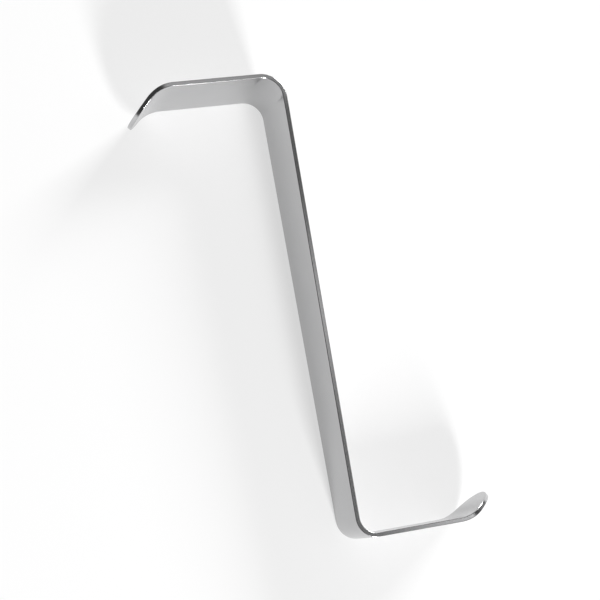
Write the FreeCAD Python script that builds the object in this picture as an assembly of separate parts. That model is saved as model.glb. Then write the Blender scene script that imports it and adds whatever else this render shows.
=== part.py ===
import FreeCAD, Part
import math
import os

from FreeCAD import Vector

# A double-ended hand retractor, bent from one strip of steel into a Z.
# Seen from above, the shaft lies along Y, the upper arm points to -X and the lower arm to +X.
# The part rests on one long edge of the strip, so the strip's width stands along +Z.

# The strip: each end has its own width, and the shaft tapers from one to the other.
# The lower edge is straight, and all of the taper is on the upper edge, which turns
# level through an arc a little before each bend.
upper_width = 27.5
lower_width = 22.4
taper_inset = 3.0
taper_blend_radius = 80.0
strip_thickness = 1.5
edge_radius = 0.45

# The shaft, between the corners where its middle line would meet the two arms
shaft_length = 160.0

# The upper end: turns in degrees, radii on the inside of each bend, and lengths
# along the middle of the strip, from corner to corner or from corner to tip
upper_bend_turn = 90.5
upper_bend_radius = 7.0
upper_arm_length = 43.3
upper_lip_turn = 45.0
upper_lip_radius = 11.8
upper_lip_length = 13.3
upper_tip_length = 15.5

# The lower end, narrower, a little shorter and with a flatter lip
lower_bend_turn = 89.4
lower_bend_radius = 5.8
lower_arm_length = 40.8
lower_lip_turn = 35.5
lower_lip_radius = 12.6
lower_lip_length = 12.9
lower_tip_length = 13.2

# How far a cutter reaches past what it trims
cutter_margin = 3.0

half_thickness = strip_thickness / 2


def heading_vector(heading):
    """Unit vector in the plane of the bends, for a heading in degrees from +X."""
    angle = math.radians(heading)
    return Vector(math.cos(angle), math.sin(angle), 0)


def straight_length(bend_turn, bend_radius):
    """Length of the straight of the shaft, from its middle to where a bend starts."""
    return shaft_length / 2 - (bend_radius + half_thickness) * math.tan(math.radians(bend_turn / 2))


def route(bend_turn, bend_radius, arm_length, lip_turn, lip_radius, lip_length):
    """Runs and left-hand bends of the strip's middle line, from mid-shaft to the tip."""
    bend_middle_radius = bend_radius + half_thickness
    lip_middle_radius = lip_radius + half_thickness
    bend_setback = bend_middle_radius * math.tan(math.radians(bend_turn / 2))
    lip_setback = lip_middle_radius * math.tan(math.radians(lip_turn / 2))
    return [
        ("run", straight_length(bend_turn, bend_radius)),
        ("bend", bend_turn, bend_middle_radius),
        ("run", arm_length - bend_setback - lip_setback),
        ("bend", lip_turn, lip_middle_radius),
        ("run", lip_length - lip_setback),
    ]


def rail(steps, offset):
    """Edges along the route, at an offset to its left, with the last point and heading."""
    heading = 90.0
    point = heading_vector(heading + 90) * offset
    edges = []
    for step in steps:
        if step[0] == "run":
            end = point + heading_vector(heading) * step[1]
            edges.append(Part.LineSegment(point, end).toShape())
        else:
            turn = step[1]
            radius = step[2] - offset
            centre = point + heading_vector(heading + 90) * radius
            middle = centre - heading_vector(heading + turn / 2 + 90) * radius
            end = centre - heading_vector(heading + turn + 90) * radius
            edges.append(Part.Arc(point, middle, end).toShape())
            heading += turn
        point = end
    return edges, point, heading


def bent_strip(steps, height):
    """Half of the strip, bent and still square at its tip, standing on its edge."""
    inner_edges, inner_tip, heading = rail(steps, half_thickness)
    outer_edges, outer_tip, heading = rail(steps, -half_thickness)
    inner_start = heading_vector(180) * half_thickness
    outer_start = heading_vector(0) * half_thickness
    tip_edge = Part.LineSegment(inner_tip, outer_tip).toShape()
    middle_edge = Part.LineSegment(outer_start, inner_start).toShape()
    outline = Part.Wire(inner_edges + [tip_edge] + outer_edges[::-1] + [middle_edge])
    return Part.Face(outline).extrude(Vector(0, 0, height))


def edge_cutter(taper_end, middle_width, end_width, height):
    """What is cut from above the strip: its edge slopes along the shaft, then turns level."""
    reach = shaft_length
    slope = math.atan2(end_width - middle_width, taper_end)
    side = math.copysign(1, slope)
    setback = taper_blend_radius * math.tan(abs(slope) / 2)
    corner = Vector(-reach, taper_end, end_width)
    along_slope = Vector(0, math.cos(slope), math.sin(slope))
    before = corner - along_slope * ((taper_end + cutter_margin) / math.cos(slope))
    arc_start = corner - along_slope * setback
    arc_end = corner + Vector(0, setback, 0)
    centre = arc_end - Vector(0, 0, side * taper_blend_radius)
    middle_of_arc = Vector(0, -math.sin(slope / 2), math.cos(slope / 2))
    arc_middle = centre + middle_of_arc * side * taper_blend_radius
    past = Vector(-reach, reach, end_width)
    top = height + cutter_margin
    corners = [past, Vector(-reach, reach, top), Vector(-reach, before.y, top), before, arc_start]
    edges = [Part.LineSegment(arc_end, past).toShape()]
    edges += [Part.LineSegment(*pair).toShape() for pair in zip(corners, corners[1:])]
    edges.append(Part.Arc(arc_start, arc_middle, arc_end).toShape())
    return Part.Face(Part.Wire(edges)).extrude(Vector(2 * reach, 0, 0))


def tip_cutter(steps, tip_length, width):
    """What is cut from the corners of a tip, square through the lip, to leave half an ellipse."""
    edges, tip, heading = rail(steps, 0)
    along = heading_vector(heading)
    square = heading_vector(heading + 90)
    across = Vector(0, 0, 1)
    reach = width / 2
    start = tip - along * tip_length + across * width / 2 - square * reach

    ellipse = Part.Ellipse(start, max(tip_length, width / 2), min(tip_length, width / 2))
    ellipse.Axis = square
    ellipse.XAxis = along if tip_length >= width / 2 else across
    kept = Part.Face(Part.Wire(ellipse.toShape())).extrude(square * 2 * reach)

    half_height = width / 2 + cutter_margin
    near = start - across * half_height
    far = near + along * (tip_length + cutter_margin)
    rise = across * 2 * half_height
    corners = [near, far, far + rise, near + rise, near]
    block = Part.Face(Part.makePolygon(corners)).extrude(square * 2 * reach)
    return block.cut(kept)


def end_of_strip(bend, arm_length, lip, tip_length, middle_width, end_width):
    """Half of the shaft with its arm, its lip and the rounded tip."""
    bend_turn, bend_radius = bend
    lip_turn, lip_radius, lip_length = lip
    steps = route(bend_turn, bend_radius, arm_length, lip_turn, lip_radius, lip_length)
    height = max(middle_width, end_width) + cutter_margin / 2
    strip = bent_strip(steps, height)
    taper_end = straight_length(bend_turn, bend_radius) - taper_inset
    strip = strip.cut(edge_cutter(taper_end, middle_width, end_width, height))
    return strip.cut(tip_cutter(steps, tip_length, end_width))


def is_rim_edge(edge):
    """True for an edge between a broad face and the narrow rim of the strip."""
    if edge.Curve.TypeId != "Part::GeomLine":
        return True
    direction = edge.tangentAt(edge.FirstParameter)
    across_width = abs(direction.z) > 0.999
    through_thickness = edge.Length < 1.1 * strip_thickness
    return not across_width and not through_thickness


def round_rim(strip):
    """The strip with its rim rounded on both faces, leaving a narrow flat in between."""
    return strip.makeFillet(edge_radius, [edge for edge in strip.Edges if is_rim_edge(edge)])


def centre_on_footprint(strip):
    """The strip with the origin under the middle of its box, and its lower edge at z = 0."""
    box = strip.optimalBoundingBox(False)
    strip.translate(Vector(-box.Center.x, -box.Center.y, -box.ZMin))
    return strip


def make_retractor():
    """The whole retractor, as one solid."""
    upper_taper = straight_length(upper_bend_turn, upper_bend_radius) - taper_inset
    lower_taper = straight_length(lower_bend_turn, lower_bend_radius) - taper_inset
    share = lower_taper / (upper_taper + lower_taper)
    middle_width = lower_width + (upper_width - lower_width) * share
    upper = end_of_strip(
        (upper_bend_turn, upper_bend_radius),
        upper_arm_length,
        (upper_lip_turn, upper_lip_radius, upper_lip_length),
        upper_tip_length,
        middle_width,
        upper_width,
    )
    lower = end_of_strip(
        (lower_bend_turn, lower_bend_radius),
        lower_arm_length,
        (lower_lip_turn, lower_lip_radius, lower_lip_length),
        lower_tip_length,
        middle_width,
        lower_width,
    )
    lower.rotate(Vector(0, 0, 0), Vector(0, 0, 1), 180)
    strip = upper.fuse(lower).removeSplitter()
    return centre_on_footprint(round_rim(strip))


os.makedirs("parts", exist_ok=True)
retractor = make_retractor()
retractor.exportStep("parts/retractor.step")
print("retractor:", len(retractor.Solids), "solid, valid:", retractor.isValid())
print("box:", retractor.optimalBoundingBox(False), "volume:", round(retractor.Volume, 2))
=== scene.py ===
import math

import bpy
from mathutils import Matrix, Vector


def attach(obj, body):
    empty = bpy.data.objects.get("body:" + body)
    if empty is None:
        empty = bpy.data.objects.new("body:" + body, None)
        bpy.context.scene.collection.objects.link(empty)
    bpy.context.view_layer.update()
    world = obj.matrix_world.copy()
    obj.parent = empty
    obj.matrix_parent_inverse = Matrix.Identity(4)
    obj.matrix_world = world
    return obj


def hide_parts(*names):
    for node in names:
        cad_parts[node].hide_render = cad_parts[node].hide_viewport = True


# A double-ended hand retractor: one strip of satin stainless steel, bent into a Z.
# The strip lies on its long edge. The shaft runs along Y, the arms point to -X and +X.

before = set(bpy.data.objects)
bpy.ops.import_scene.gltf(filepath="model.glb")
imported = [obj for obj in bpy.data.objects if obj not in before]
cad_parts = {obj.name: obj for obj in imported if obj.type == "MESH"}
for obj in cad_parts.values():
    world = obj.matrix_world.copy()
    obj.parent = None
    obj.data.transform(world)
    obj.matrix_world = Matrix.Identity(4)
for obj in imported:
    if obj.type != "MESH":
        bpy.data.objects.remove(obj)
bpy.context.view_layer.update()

# The strip, in metres, as the solid has it. Only its edges are less rounded, by 0.2 mm, because the
# rim reads as one flat band in the photograph, and its tips are trimmed to stay in the solid's box.
THICKNESS = 0.0015
EDGE_RADIUS = 0.00025
TIP_TRIM = 0.00012

# Where the middle of the shaft stands: the origin is under the middle of the whole retractor
SHAFT_X = 0.00066936
MIDDLE_Y = 0.00022558

# From the middle of the shaft to the corner where its middle line would meet an arm's
HALF_SHAFT = 0.080

# The taper of the shaft: how far before each bend the upper edge turns level, and the arc there
TAPER_INSET = 0.003
TAPER_BLEND = 0.080

# The two ends: turns in degrees, inside radii and lengths in metres.
# "start" is the heading in which the strip leaves the middle of the shaft. "arm" and "lip" run from
# corner to corner or to the tip, and "tip" is the length of the half ellipse that rounds it.
UPPER_END = {
    "start": 90.0,
    "width": 0.0275,
    "bend_turn": 90.5,
    "bend_radius": 0.0070,
    "arm": 0.0433,
    "lip_turn": 45.0,
    "lip_radius": 0.0118,
    "lip": 0.0133,
    "tip": 0.0155,
}
LOWER_END = {
    "start": 270.0,
    "width": 0.0224,
    "bend_turn": 89.4,
    "bend_radius": 0.0058,
    "arm": 0.0408,
    "lip_turn": 35.5,
    "lip_radius": 0.0126,
    "lip": 0.0129,
    "tip": 0.0132,
}

# How finely the bends, the tips and the rounding of the rim are divided, and how sharp
# an edge is before it is rounded
BEND_STEPS = 24
LIP_STEP_DEG = 1.5
TIP_STEP_DEG = 3.0
RIM_STEPS = 5
SHARP_EDGE_DEG = 40

# How near counts as the same place, level or point, in metres, and as the same direction,
# as a cosine
SAME_PLACE = 1e-5
SAME_LEVEL = 1e-6
SAME_POINT = 2e-6
SAME_DIRECTION = 0.999

# How narrow the strip is drawn where its tip closes, as a share of its width, and how far past
# the flat of a lip its points are looked for
CLOSED_SHARE = 1e-5
TIP_REACH = 0.001

MILLIMETRE = 0.001

# The marks in the steel, in metres: the grain of the grinding belt as it is drawn, the soft clouds
# in the satin finish, and how deep the grain is
GRAIN_LENGTH = 0.015
GRAIN_WIDTH = 0.0005
CLOUD_SIZE = 0.015
GRAIN_DEPTH = 0.00002

# The camera, worked out from the photograph's perspective: where it stands, and which way
# its picture's right, its picture's top and its own back point
CAMERA_PLACE = (-0.14626001, -0.06363886, 0.46368114)
CAMERA_RIGHT = (0.94510711, -0.17654128, 0.27496496)
CAMERA_UP = (0.12790943, 0.9742176, 0.18584738)
CAMERA_BACK = (-0.30068544, -0.14047507, 0.94332127)
CAMERA_LENS_MM = 82.8661
CAMERA_SENSOR_MM = 36

# The share of plain white in the floor that is seen: the rest is lit paper, which keeps the shadow
WHITE_SHARE = 0.64

# The side of the floor, in metres, and the strength of the even light all round
FLOOR_SIZE = 40
STUDIO_LEVEL = 0.05

# The lamps, which all face the retractor: place and size in metres, and power in watts. The first
# two stand far off and light its faces evenly. The three small ones hang where the rim mirrors them.
LAMPS = (
    ("front", (0.22, -2.00, 0.95), (0.3, 0.8), 66),
    ("back_right", (1.55, 1.30, 0.95), (0.7, 0.7), 60),
    ("over_back", (0.22, 0.48, 1.1), (0.3, 0.3), 0.17),
    ("over_middle", (0.36, 0.07, 1.1), (0.14, 0.2), 0.075),
    ("over_right", (0.60, -0.14, 1.1), (0.28, 0.3), 0.3),
)


def deselect_all():
    """Nothing stays selected, so that the next operator acts only on what it is meant to."""
    if bpy.context.mode != "OBJECT":
        bpy.ops.object.mode_set(mode="OBJECT")
    bpy.ops.object.select_all(action="DESELECT")


def direction(heading):
    """Unit vector in the plane of the bends, for a heading in degrees from +X."""
    angle = math.radians(heading)
    return Vector((math.cos(angle), math.sin(angle), 0))


def arc_end(point, heading, turn, radius):
    """Where a left-hand bend of the middle line ends, and its centre."""
    centre = point + direction(heading + 90) * radius
    return centre - direction(heading + turn + 90) * radius, centre


def route(end):
    """Radii and straight runs of the middle line of one end, from mid-shaft to the tip."""
    bend = end["bend_radius"] + THICKNESS / 2
    lip = end["lip_radius"] + THICKNESS / 2
    bend_setback = bend * math.tan(math.radians(end["bend_turn"] / 2))
    lip_setback = lip * math.tan(math.radians(end["lip_turn"] / 2))
    return {
        "bend": bend,
        "lip": lip,
        "shaft_run": HALF_SHAFT - bend_setback,
        "arm_run": end["arm"] - bend_setback - lip_setback,
        "lip_run": end["lip"] - lip_setback - TIP_TRIM,
    }


def select_end_face(strip, point, heading):
    """Selects only the face that closes the strip at a point of its middle line."""
    bpy.ops.mesh.select_all(action="DESELECT")
    bpy.ops.object.mode_set(mode="OBJECT")
    for face in strip.data.polygons:
        near = (face.center - point).xy.length < SAME_PLACE
        square = face.normal.dot(direction(heading)) > SAME_DIRECTION
        face.select = near and square
    bpy.ops.object.mode_set(mode="EDIT")


def extrude_to(start, end):
    """Draws the selected section out, from one point of the middle line to the next."""
    bpy.ops.mesh.extrude_region_move(TRANSFORM_OT_translate={"value": end - start})


def turn_section(angle, point):
    """Turns the selected section to the left, by an angle in degrees.

    With no window the operator turns the other way, so it is given the angle below zero.
    """
    bpy.ops.transform.rotate(
        value=-math.radians(angle),
        orient_axis="Z",
        orient_type="GLOBAL",
        center_override=(point.x, point.y, 0),
    )


def scale_section(share, point, level):
    """Scales the selected section's width, towards a level above the floor."""
    bpy.ops.transform.resize(
        value=(1, 1, share),
        orient_type="GLOBAL",
        center_override=(point.x, point.y, level),
    )


def half_width_share(back_from_tip, tip_length):
    """How much of the full width is left at a distance back from the tip: half an ellipse."""
    along = tip_length - back_from_tip
    if along <= 0:
        return 1.0
    return math.sqrt(max(0.0, 1 - (along / tip_length) ** 2))


def bend_lip(end, parts, point, heading):
    """The bend of a lip, which narrows where the rounded tip reaches back into it."""
    steps = math.ceil(end["lip_turn"] / LIP_STEP_DEG)
    step = end["lip_turn"] / steps
    share = 1.0
    for number in range(1, steps + 1):
        after, centre = arc_end(point, heading, step, parts["lip"])
        extrude_to(point, after)
        turn_section(step, after)
        heading += step
        left = math.radians(end["lip_turn"] - step * number)
        back = parts["lip_run"] + parts["lip"] * math.sin(left)
        new_share = half_width_share(back, end["tip"])
        scale_section(new_share / share, after, end["width"] / 2)
        share = new_share
        point = after
    return point, heading, share


def round_tip(end, parts, point, heading, share):
    """The straight part of a lip, out to where its rounded tip closes."""
    tip = point + direction(heading) * parts["lip_run"]
    first = math.degrees(math.asin((end["tip"] - parts["lip_run"]) / end["tip"]))
    steps = math.ceil((90 - first) / TIP_STEP_DEG)
    for number in range(1, steps + 1):
        angle = math.radians(first + (90 - first) * number / steps)
        back = end["tip"] * (1 - math.sin(angle))
        after = tip - direction(heading) * back
        extrude_to(point, after)
        new_share = max(math.cos(angle), CLOSED_SHARE)
        scale_section(new_share / share, after, end["width"] / 2)
        share = new_share
        point = after
    return tip


def make_end(strip, end, blend_start, blend_width, blend_end):
    """Bends and trims one end of the strip, from where its upper edge turns level to the tip."""
    parts = route(end)
    heading = end["start"]
    shaft = Vector((SHAFT_X, MIDDLE_Y, 0))
    select_end_face(strip, shaft + direction(heading) * blend_start, heading)

    # the end of the taper, where the upper edge turns level
    point = shaft + direction(heading) * blend_end
    extrude_to(shaft + direction(heading) * blend_start, point)
    scale_section(end["width"] / blend_width, point, 0)
    after = shaft + direction(heading) * parts["shaft_run"]
    extrude_to(point, after)
    point = after

    # the bend between the shaft and the arm
    point, centre = arc_end(point, heading, end["bend_turn"], parts["bend"])
    bpy.ops.mesh.spin(
        steps=BEND_STEPS,
        angle=math.radians(end["bend_turn"]),
        center=(centre.x, centre.y, 0),
        axis=(0, 0, -1),
    )
    heading += end["bend_turn"]

    # the arm
    after = point + direction(heading) * parts["arm_run"]
    extrude_to(point, after)
    point = after

    point, heading, share = bend_lip(end, parts, point, heading)
    tip = round_tip(end, parts, point, heading, share)
    return tip, heading, parts["lip_run"]


def clear_tip_rows(strip, tip, heading, run):
    """Takes out the lines across the flat of a lip, so that its rounded outline is one face."""
    bpy.ops.mesh.select_mode(type="EDGE")
    bpy.ops.mesh.select_all(action="DESELECT")
    bpy.ops.object.mode_set(mode="OBJECT")
    ahead = direction(heading)
    points = strip.data.vertices
    for edge in strip.data.edges:
        a, b = (points[i].co for i in edge.vertices)
        back = [(tip - p).dot(ahead) for p in (a, b)]
        near = all((p - tip).xy.length < run + TIP_REACH for p in (a, b))
        upright = abs((a - b).z) > (a - b).length / 2
        level = abs(back[0] - back[1]) < SAME_LEVEL
        edge.select = near and upright and level and max(back) < run - SAME_PLACE
    bpy.ops.object.mode_set(mode="EDIT")
    bpy.ops.mesh.dissolve_edges(use_verts=False)


def middle_line(end, side):
    """The runs and bends of one end's middle line: where each starts, and how far from mid-shaft.

    The side is 1 for the upper end and -1 for the lower one, where the map counts below zero.
    """
    parts = route(end)
    heading = end["start"]
    point = Vector((SHAFT_X, MIDDLE_Y, 0))
    along = 0.0
    steps = []
    for kind, amount, radius in (
        ("run", parts["shaft_run"], None),
        ("bend", end["bend_turn"], parts["bend"]),
        ("run", parts["arm_run"], None),
        ("bend", end["lip_turn"], parts["lip"]),
        ("run", parts["lip_run"], None),
    ):
        step = {"kind": kind, "heading": heading, "along": along, "side": side}
        if kind == "run":
            step.update(point=point, length=amount)
            point = point + direction(heading) * amount
        else:
            after, centre = arc_end(point, heading, amount, radius)
            step.update(point=centre, length=math.radians(amount) * radius, radius=radius)
            point = after
            heading += amount
        along += step["length"]
        steps.append(step)
    return steps


def place_on_strip(co, steps):
    """How far along the strip a point lies, in metres, and how far from its middle line."""
    best = None
    for step in steps:
        ahead, left = direction(step["heading"]), direction(step["heading"] + 90)
        from_point = Vector((co.x, co.y, 0)) - step["point"]
        if step["kind"] == "run":
            along, off = from_point.dot(ahead), from_point.dot(left)
        else:
            angle = math.atan2(from_point.dot(ahead), -from_point.dot(left))
            along, off = angle * step["radius"], step["radius"] - from_point.length
        outside = max(0.0, -along, along - step["length"])
        distance = outside + abs(off)
        if best is None or distance < best[0]:
            best = (distance, step["side"] * (step["along"] + along), off)
    return best[1], best[2]


def map_strip(strip):
    """A UV map in metres, along and across the strip, and how far round the rim each point lies."""
    steps = middle_line(UPPER_END, 1) + middle_line(LOWER_END, -1)
    mesh = strip.data
    places = [place_on_strip(vertex.co, steps) for vertex in mesh.vertices]
    uv = mesh.uv_layers.new(name="strip")
    for loop in mesh.loops:
        height = mesh.vertices[loop.vertex_index].co.z
        uv.data[loop.index].uv = (places[loop.vertex_index][0], height)
    rim = mesh.attributes.new("rim", "FLOAT", "POINT")
    for vertex in mesh.vertices:
        inside = THICKNESS / 2 - abs(places[vertex.index][1])
        rim.data[vertex.index].value = min(1.0, max(0.0, inside / EDGE_RADIUS))


def make_strip():
    """The whole retractor, bent, trimmed and with its rim rounded."""
    upper_taper = route(UPPER_END)["shaft_run"] - TAPER_INSET
    lower_taper = route(LOWER_END)["shaft_run"] - TAPER_INSET
    slope = math.atan2(UPPER_END["width"] - LOWER_END["width"], upper_taper + lower_taper)
    setback = TAPER_BLEND * math.tan(slope / 2)
    upper_start, lower_start = upper_taper - setback, lower_taper - setback
    upper_width = UPPER_END["width"] - setback * math.tan(slope)
    lower_width = LOWER_END["width"] + setback * math.tan(slope)

    # the straight of the shaft, drawn in a little where its upper edge runs down to the lower end
    deselect_all()
    bpy.ops.mesh.primitive_cube_add(
        size=1, location=(SHAFT_X, MIDDLE_Y + (upper_start - lower_start) / 2, upper_width / 2)
    )
    strip = bpy.context.object
    strip.name = "bent_strip"
    strip.data.name = "bent_strip"
    strip.scale = (THICKNESS, upper_start + lower_start, upper_width)
    bpy.ops.object.transform_apply(location=True, rotation=True, scale=True)
    bpy.ops.object.mode_set(mode="EDIT")
    bpy.ops.mesh.select_mode(type="FACE")
    lower_point = Vector((SHAFT_X, MIDDLE_Y - lower_start, 0))
    select_end_face(strip, lower_point, LOWER_END["start"])
    scale_section(lower_width / upper_width, lower_point, 0)

    upper_tip = make_end(strip, UPPER_END, upper_start, upper_width, upper_taper + setback)
    lower_tip = make_end(strip, LOWER_END, lower_start, lower_width, lower_taper + setback)
    bpy.ops.mesh.select_all(action="SELECT")
    bpy.ops.mesh.remove_doubles(threshold=SAME_POINT)
    bpy.ops.mesh.normals_make_consistent(inside=False)
    clear_tip_rows(strip, *upper_tip)
    clear_tip_rows(strip, *lower_tip)
    bpy.ops.object.mode_set(mode="OBJECT")

    rim = strip.modifiers.new("rounded rim", "BEVEL")
    rim.width = EDGE_RADIUS
    rim.segments = RIM_STEPS
    rim.limit_method = "ANGLE"
    rim.angle_limit = math.radians(SHARP_EDGE_DEG)
    rim.use_clamp_overlap = False
    bpy.ops.object.modifier_apply(modifier=rim.name)
    bpy.ops.object.shade_smooth()

    # the largest face at each corner sets the shading there, so broad and flat faces stay even.
    # The modifier leaves out faces as small as these are in square metres, so it works on the
    # strip in millimetres.
    strip.data.transform(Matrix.Scale(1 / MILLIMETRE, 4))
    shading = strip.modifiers.new("even shading", "WEIGHTED_NORMAL")
    shading.weight = 100
    bpy.ops.object.modifier_apply(modifier=shading.name)
    strip.data.transform(Matrix.Scale(MILLIMETRE, 4))
    map_strip(strip)
    return strip


def linear(hex_colour):
    """An sRGB hex colour as the linear colour that the shader takes."""
    channels = []
    for first in (0, 2, 4):
        value = int(hex_colour[first : first + 2], 16) / 255
        channels.append(value / 12.92 if value <= 0.04045 else ((value + 0.055) / 1.055) ** 2.4)
    return (*channels, 1.0)


def add_node(tree, kind, settings=None, inputs=None, links=None):
    """One node, with its settings, its input values and the outputs that feed it."""
    node = tree.nodes.new(kind)
    for name, value in (settings or {}).items():
        setattr(node, name, value)
    for name, value in (inputs or {}).items():
        node.inputs[name].default_value = value
    for name, output in (links or {}).items():
        tree.links.new(output, node.inputs[name])
    return node


def new_material(name):
    """An empty material and its node tree."""
    material = bpy.data.materials.new(name)
    material.use_nodes = True
    material.node_tree.nodes.clear()
    return material, material.node_tree


def satin_stainless_steel():
    """Stainless steel strip, ground lengthwise and then satin finished: a soft, neutral grey.

    The eye sees broad, softly blurred reflections with a faint lengthwise grain, and a flat rim
    that mirrors the dim studio above it, so it draws the strip's edge as a darker line.
    """
    material, tree = new_material("satin_stainless_steel")
    place = add_node(tree, "ShaderNodeUVMap", {"uv_map": "strip"})

    # the grain of the grinding belt: real lines are about 0.05 mm wide, too fine to show here,
    # so they are drawn 0.5 mm wide, and 15 mm long
    grain_size = add_node(
        tree,
        "ShaderNodeMapping",
        inputs={"Scale": (1 / GRAIN_LENGTH, 1 / GRAIN_WIDTH, 1.0)},
        links={"Vector": place.outputs["UV"]},
    )
    grain = add_node(
        tree,
        "ShaderNodeTexNoise",
        {"noise_dimensions": "2D"},
        {"Scale": 1.0, "Detail": 3.0, "Roughness": 0.6},
        {"Vector": grain_size.outputs["Vector"]},
    )

    # soft clouds about 15 mm across, where the satin finish came out a little finer or coarser
    clouds = add_node(
        tree,
        "ShaderNodeTexNoise",
        {"noise_dimensions": "2D"},
        {"Scale": 1 / CLOUD_SIZE, "Detail": 2.0, "Roughness": 0.5},
        {"Vector": place.outputs["UV"]},
    )
    mottle = add_node(
        tree,
        "ShaderNodeMix",
        {"data_type": "FLOAT"},
        {"Factor": 0.6},
        {"A": clouds.outputs["Fac"], "B": grain.outputs["Fac"]},
    )
    finish = add_node(
        tree,
        "ShaderNodeMapRange",
        inputs={"From Min": 0.3, "From Max": 0.7},
        links={"Value": mottle.outputs["Result"]},
    )
    face_colour = add_node(
        tree,
        "ShaderNodeMix",
        {"data_type": "RGBA"},
        {"A": linear("B2B2B3"), "B": linear("BABABB")},
        {"Factor": finish.outputs["Result"]},
    )
    face_roughness = add_node(
        tree,
        "ShaderNodeMapRange",
        inputs={"To Min": 0.20, "To Max": 0.25},
        links={"Value": finish.outputs["Result"]},
    )

    # the rim was ground and rubbed down afterwards, which leaves it even and a little smoother. Its
    # lighter colour is painted light: a lift that brightens the edge band, which mirrors the dim
    # studio above
    rim = add_node(tree, "ShaderNodeAttribute", {"attribute_name": "rim"})
    colour = add_node(
        tree,
        "ShaderNodeMix",
        {"data_type": "RGBA"},
        {"B": linear("C6C6C7")},
        {"Factor": rim.outputs["Fac"], "A": face_colour.outputs["Result"]},
    )
    roughness = add_node(
        tree,
        "ShaderNodeMix",
        {"data_type": "FLOAT"},
        {"B": 0.20},
        {"Factor": rim.outputs["Fac"], "A": face_roughness.outputs["Result"]},
    )
    bump = add_node(
        tree,
        "ShaderNodeBump",
        inputs={"Strength": 0.1, "Distance": GRAIN_DEPTH},
        links={"Height": grain.outputs["Fac"]},
    )
    shader = add_node(
        tree,
        "ShaderNodeBsdfPrincipled",
        inputs={"Metallic": 1.0},
        links={
            "Base Color": colour.outputs["Result"],
            "Roughness": roughness.outputs["Result"],
            "Normal": bump.outputs["Normal"],
        },
    )
    add_node(tree, "ShaderNodeOutputMaterial", links={"Surface": shader.outputs["BSDF"]})
    return material


def white_paper():
    """White studio paper: what is seen of it is lifted towards white, and the shadow stays on it."""
    material, tree = new_material("white_paper")
    rays = add_node(tree, "ShaderNodeLightPath")
    seen = rays.outputs["Is Camera Ray"]
    for kind in ("Is Glossy Ray", "Is Transmission Ray"):
        total = add_node(
            tree,
            "ShaderNodeMath",
            {"operation": "ADD"},
            links={0: seen, 1: rays.outputs[kind]},
        )
        seen = total.outputs["Value"]
    lift = add_node(tree, "ShaderNodeMath", {"operation": "MULTIPLY"}, {1: WHITE_SHARE}, {0: seen})
    paper = add_node(tree, "ShaderNodeBsdfDiffuse", inputs={"Color": linear("F2F2F2")})
    white = add_node(
        tree, "ShaderNodeEmission", inputs={"Color": linear("FFFFFF"), "Strength": 1.0}
    )

    # the two shaders that go into the mix share one name, so they are given by number
    mix = add_node(
        tree,
        "ShaderNodeMixShader",
        links={
            "Fac": lift.outputs["Value"],
            1: paper.outputs["BSDF"],
            2: white.outputs["Emission"],
        },
    )
    add_node(tree, "ShaderNodeOutputMaterial", links={"Surface": mix.outputs["Shader"]})
    return material


def make_floor():
    """The white paper that the retractor lies on, out past every view's horizon."""
    deselect_all()
    bpy.ops.mesh.primitive_plane_add(size=FLOOR_SIZE, location=(0, 0, 0))
    floor = bpy.context.object
    floor.name = "floor"
    floor.data.materials.append(white_paper())


def make_camera():
    """The photograph's viewing angle: from above, a little to the left and in front."""
    data = bpy.data.cameras.new("camera")
    data.lens = CAMERA_LENS_MM
    data.sensor_width = CAMERA_SENSOR_MM
    camera = bpy.data.objects.new("camera", data)
    bpy.context.scene.collection.objects.link(camera)
    turn = Matrix((CAMERA_RIGHT, CAMERA_UP, CAMERA_BACK)).transposed()
    camera.matrix_world = Matrix.Translation(CAMERA_PLACE) @ turn.to_4x4()
    bpy.context.scene.camera = camera


def softbox(name, location, size, power):
    """A rectangular studio lamp that faces the retractor."""
    data = bpy.data.lights.new(name, "AREA")
    data.shape = "RECTANGLE"
    data.size, data.size_y = size
    data.energy = power
    lamp = bpy.data.objects.new(name, data)
    bpy.context.scene.collection.objects.link(lamp)
    lamp.location = location
    lamp.rotation_mode = "QUATERNION"
    lamp.rotation_quaternion = (-Vector(location)).to_track_quat("-Z", "Y")


def make_world():
    """A dim, even studio: the rim mirrors it, and stays darker than the faces."""
    world = bpy.data.worlds.new("studio")
    bpy.context.scene.world = world
    world.use_nodes = True
    tree = world.node_tree
    tree.nodes.clear()
    dim = add_node(
        tree,
        "ShaderNodeBackground",
        inputs={"Color": linear("FFFFFF"), "Strength": STUDIO_LEVEL},
    )
    add_node(tree, "ShaderNodeOutputWorld", links={"Surface": dim.outputs["Background"]})


make_camera()
bpy.context.scene.view_settings.view_transform = "Standard"

strip = make_strip()
strip.data.materials.append(satin_stainless_steel())
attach(strip, "root")
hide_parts("retractor")

make_floor()
make_world()
for lamp in LAMPS:
    softbox(*lamp)
